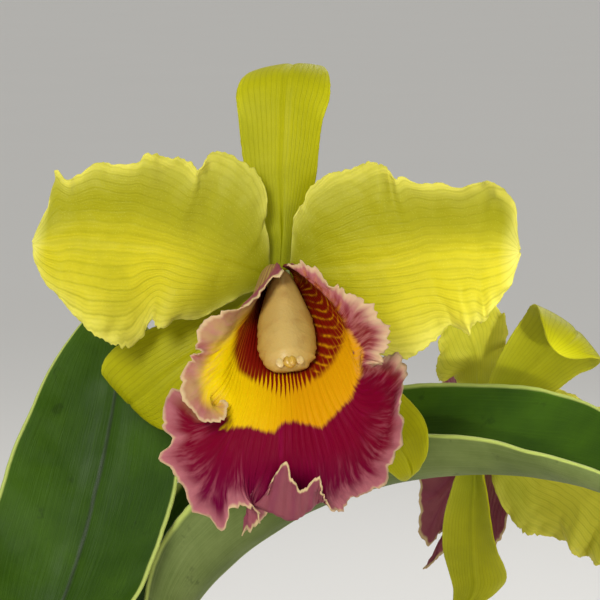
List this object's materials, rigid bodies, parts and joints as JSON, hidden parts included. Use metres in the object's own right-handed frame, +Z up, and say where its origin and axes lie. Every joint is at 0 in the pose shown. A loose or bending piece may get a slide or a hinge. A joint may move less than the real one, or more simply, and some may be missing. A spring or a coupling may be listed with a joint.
{
  "type": "potted cattleya orchid",
  "caption": "Potted cattleya orchid in flower: clay pot of bark, jointed bulbs with strap leaves, and a stem of yellow green blooms with ruffled magenta lips.",
  "frame": {"origin": "middle of the pot's foot, on the surface the pot stands on", "axes": "+Z up; -Y is the side the main bloom faces; +X is to the right as seen from that side"},
  "size_m": [0.3868, 0.3642, 0.4308],
  "materials": {
    "clay": "matt fired clay, dusty, with pale mineral marks",
    "bark": "rough fir bark chips, matt",
    "rhizome": "green creeping stem with dry brown scales",
    "bulb": "smooth green, faintly ribbed, satin",
    "sheath": "dry papery, fibrous, matt",
    "leaf": "glossy dark green above, dull grey green below",
    "stem": "smooth green, satin",
    "petal": "soft yellow green with fine veins, faintly shining",
    "sepal": "yellow green, smooth, satin",
    "lip": "velvety magenta with a yellow and dark red throat and a pale ruffled edge",
    "column": "waxy cream yellow",
    "root": "chalky silver green, matt"
  },
  "bodies": {
    "root": {"pot": "clay", "rhizome": "rhizome", "bark_bed": "bark", "flower_stem": "stem", "pedicel_1": "stem", "pedicel_2": "stem", "spathe": "sheath", "bulb_1": "bulb", "bulb_sheath_1": "sheath", "leaf_1": "leaf", "bulb_2": "bulb", "bulb_sheath_2": "sheath", "leaf_2": "leaf", "bulb_3": "bulb", "bulb_sheath_3": "sheath", "leaf_3": "leaf", "bulb_4": "bulb", "bulb_sheath_4": "sheath", "leaf_4": "leaf", "bulb_5": "bulb", "bulb_sheath_5": "sheath", "leaf_5": "leaf", "aerial_root_1": "root", "aerial_root_2": "root", "aerial_root_3": "root", "aerial_root_4": "root", "aerial_root_5": "root", "aerial_root_6": "root", "bloom_1_dorsal_sepal": "sepal", "bloom_1_side_sepal_1": "sepal", "bloom_1_side_sepal_2": "sepal", "bloom_1_petal_1": "petal", "bloom_1_petal_2": "petal", "bloom_1_lip": "lip", "bloom_1_column": "column", "bloom_2_dorsal_sepal": "sepal", "bloom_2_side_sepal_1": "sepal", "bloom_2_side_sepal_2": "sepal", "bloom_2_petal_1": "petal", "bloom_2_petal_2": "petal", "bloom_2_lip": "lip", "bloom_2_column": "column"}
  },
  "joints": []
}
